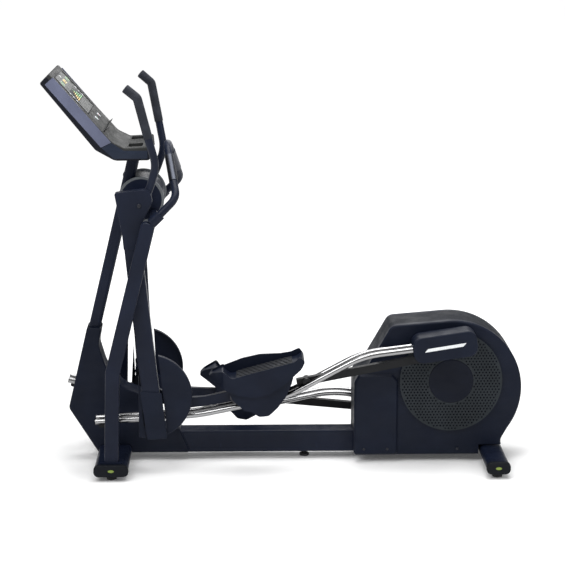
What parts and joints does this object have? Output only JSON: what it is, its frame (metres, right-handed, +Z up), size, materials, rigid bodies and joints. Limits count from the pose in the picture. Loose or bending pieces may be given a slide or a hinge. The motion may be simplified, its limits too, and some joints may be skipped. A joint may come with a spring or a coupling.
{
  "type": "elliptical trainer",
  "caption": "Rear-drive elliptical trainer with railed pedals, swinging arms, fixed handlebars, console and round drive housing.",
  "frame": {"origin": "on the floor, under the middle of the overall length, on the mid plane between the two sides", "axes": "+Z up, +X from the console end towards the drive housing, -Y to the user's left when standing on the pedals facing the console"},
  "size_m": [2.0936, 0.752, 1.7503],
  "materials": {
    "navy_paint": "satin",
    "navy_plastic": "satin",
    "dark_grey_plastic": "matte",
    "light_grey_plastic": "satin",
    "chrome": "polished",
    "steel": "brushed",
    "black_rubber": "matte",
    "black_paint": "satin",
    "cast_iron": "machined",
    "ring_grey": "satin",
    "display": "gloss",
    "board_green": "satin",
    "roller_polyurethane": "satin",
    "console_grey": "satin"
  },
  "bodies": {
    "frame": {"base_frame": "navy_paint", "front_stabiliser": "navy_paint", "rear_stabiliser": "navy_paint", "stabiliser_caps": "dark_grey_plastic", "mast": "navy_paint", "shroud_left": "navy_plastic", "shroud_right": "navy_plastic", "upright_left": "navy_paint", "upright_right": "navy_paint", "pivot_housing": "navy_paint", "pivot_axle": "steel", "fixed_handlebars": "navy_paint", "pulse_grips": "steel", "console_back": "console_grey", "console_face": "console_grey", "console_display": "display", "circuit_board": "board_green", "housing_left": "navy_plastic", "housing_right": "navy_plastic", "housing_top": "dark_grey_plastic", "drive_belt": "black_rubber"},
    "crank_set": {"crank_axle": "steel", "crank_arms": "navy_paint", "crank_rings": "ring_grey", "hub_caps": "navy_plastic", "drive_pulley": "dark_grey_plastic"},
    "flywheel_set": {"flywheel": "cast_iron"},
    "start_key_body": {"start_key": "light_grey_plastic"},
    "stop_key_body": {"stop_key": "light_grey_plastic"},
    "foot_centre": {"levelling_foot_centre": "black_rubber"},
    "swing_arm_left": {"arm_left": "navy_paint", "arm_handle_left": "navy_paint", "handle_grip_left": "black_rubber", "arm_cover_left": "navy_plastic"},
    "guide_left": {"rail_guide_left": "dark_grey_plastic"},
    "guide_wheel_left": {"guide_roller_left": "light_grey_plastic"},
    "rails_left": {"rail_tubes_left": "chrome", "rail_beam_left": "black_paint", "crank_cover_left": "navy_plastic"},
    "pedal_set_left": {"pedal_link_left": "navy_paint", "pedal_left": "navy_plastic", "pedal_tread_left": "black_rubber"},
    "pedal_wheels_left": {"pedal_roller_left": "roller_polyurethane"},
    "foot_front_left": {"levelling_foot_front_left": "black_rubber"},
    "foot_rear_left": {"levelling_foot_rear_left": "black_rubber"},
    "swing_arm_right": {"arm_right": "navy_paint", "arm_handle_right": "navy_paint", "handle_grip_right": "black_rubber", "arm_cover_right": "navy_plastic"},
    "guide_right": {"rail_guide_right": "dark_grey_plastic"},
    "guide_wheel_right": {"guide_roller_right": "light_grey_plastic"},
    "rails_right": {"rail_tubes_right": "chrome", "rail_beam_right": "black_paint", "crank_cover_right": "navy_plastic"},
    "pedal_set_right": {"pedal_link_right": "navy_paint", "pedal_right": "navy_plastic", "pedal_tread_right": "black_rubber"},
    "pedal_wheels_right": {"pedal_roller_right": "roller_polyurethane"},
    "foot_front_right": {"levelling_foot_front_right": "black_rubber"},
    "foot_rear_right": {"levelling_foot_rear_right": "black_rubber"}
  },
  "joints": [
    {"name": "crank_spin", "type": "hinge", "parent": "frame", "child": "crank_set", "pos_m": [0.72982, 0, 0.378], "axis": [0, -1, 0], "continuous": true},
    {"name": "flywheel_spin", "type": "hinge", "parent": "frame", "child": "flywheel_set", "pos_m": [0.43982, 0, 0.268], "axis": [0, -1, 0], "continuous": true},
    {"name": "arm_swing_left", "type": "hinge", "parent": "frame", "child": "swing_arm_left", "pos_m": [-0.63318, 0, 1.2], "axis": [0, -1, 0], "range_deg": [-19.5, 15.5]},
    {"name": "guide_hinge_left", "type": "hinge", "parent": "swing_arm_left", "child": "guide_left", "pos_m": [-0.60518, 0, 0.352], "axis": [0, -1, 0], "range_deg": [-15.5, 19.5]},
    {"name": "rail_slide_left", "type": "slide", "parent": "guide_left", "child": "rails_left", "axis": [0.9978, 0, 0.0659], "range_m": [-0.04328, 0.05445]},
    {"name": "pedal_hinge_left", "type": "hinge", "parent": "swing_arm_left", "child": "pedal_set_left", "pos_m": [-0.60518, 0, 0.352], "axis": [0, -1, 0], "range_deg": [-14.62, 18.39]},
    {"name": "guide_wheel_spin_left", "type": "hinge", "parent": "guide_left", "child": "guide_wheel_left", "pos_m": [-0.59605, 0, 0.21383], "axis": [0, -1, 0], "continuous": true},
    {"name": "pedal_wheels_spin_left", "type": "hinge", "parent": "pedal_set_left", "child": "pedal_wheels_left", "pos_m": [-0.21943, 0, 0.33913], "axis": [0, -1, 0], "continuous": true},
    {"name": "foot_front_left_screw", "type": "slide", "parent": "frame", "child": "foot_front_left", "axis": [0, 0, -1], "range_m": [0, 0.012]},
    {"name": "foot_rear_left_screw", "type": "slide", "parent": "frame", "child": "foot_rear_left", "axis": [0, 0, -1], "range_m": [0, 0.012]},
    {"name": "arm_swing_right", "type": "hinge", "parent": "frame", "child": "swing_arm_right", "pos_m": [-0.63318, 0, 1.2], "axis": [0, -1, 0], "range_deg": [-15.5, 19.5]},
    {"name": "guide_hinge_right", "type": "hinge", "parent": "swing_arm_right", "child": "guide_right", "pos_m": [-0.65996, 0, 0.35196], "axis": [0, -1, 0], "range_deg": [-19.5, 15.5]},
    {"name": "rail_slide_right", "type": "slide", "parent": "guide_right", "child": "rails_right", "axis": [0.9746, 0, -0.224], "range_m": [-0.05445, 0.04328]},
    {"name": "pedal_hinge_right", "type": "hinge", "parent": "swing_arm_right", "child": "pedal_set_right", "pos_m": [-0.65996, 0, 0.35196], "axis": [0, -1, 0], "range_deg": [-18.39, 14.62]},
    {"name": "guide_wheel_spin_right", "type": "hinge", "parent": "guide_right", "child": "guide_wheel_right", "pos_m": [-0.69098, 0, 0.21701], "axis": [0, -1, 0], "continuous": true},
    {"name": "pedal_wheels_spin_right", "type": "hinge", "parent": "pedal_set_right", "child": "pedal_wheels_right", "pos_m": [-0.29131, 0, 0.23768], "axis": [0, -1, 0], "continuous": true},
    {"name": "foot_front_right_screw", "type": "slide", "parent": "frame", "child": "foot_front_right", "axis": [0, 0, -1], "range_m": [0, 0.012]},
    {"name": "foot_rear_right_screw", "type": "slide", "parent": "frame", "child": "foot_rear_right", "axis": [0, 0, -1], "range_m": [0, 0.012]},
    {"name": "foot_centre_screw", "type": "slide", "parent": "frame", "child": "foot_centre", "axis": [0, 0, -1], "range_m": [0, 0.012]},
    {"name": "start_key_press", "type": "slide", "parent": "frame", "child": "start_key_body", "axis": [-0.7443, 0, -0.6678], "range_m": [0, 0.002], "stiffness_N_per_m": 600, "springref_m": -0.001},
    {"name": "stop_key_press", "type": "slide", "parent": "frame", "child": "stop_key_body", "axis": [-0.7443, 0, -0.6678], "range_m": [0, 0.002], "stiffness_N_per_m": 600, "springref_m": -0.001}
  ],
  "couplings": [
    {"joint": "flywheel_spin", "follows": "crank_spin", "ratio": 6.25},
    {"joint": "guide_hinge_left", "follows": "arm_swing_left", "ratio": -1},
    {"joint": "rail_slide_left", "follows": "arm_swing_left", "m_per_rad": -0.16},
    {"joint": "pedal_hinge_left", "follows": "arm_swing_left", "ratio": -0.94289},
    {"joint": "guide_wheel_spin_left", "follows": "arm_swing_left", "ratio": 10},
    {"joint": "pedal_wheels_spin_left", "follows": "arm_swing_left", "ratio": -4.8485},
    {"joint": "arm_swing_right", "follows": "arm_swing_left", "ratio": -1},
    {"joint": "guide_hinge_right", "follows": "arm_swing_left", "ratio": 1},
    {"joint": "rail_slide_right", "follows": "arm_swing_left", "m_per_rad": 0.16},
    {"joint": "pedal_hinge_right", "follows": "arm_swing_left", "ratio": 0.94289},
    {"joint": "guide_wheel_spin_right", "follows": "arm_swing_left", "ratio": -10},
    {"joint": "pedal_wheels_spin_right", "follows": "arm_swing_left", "ratio": 4.8485}
  ]
}
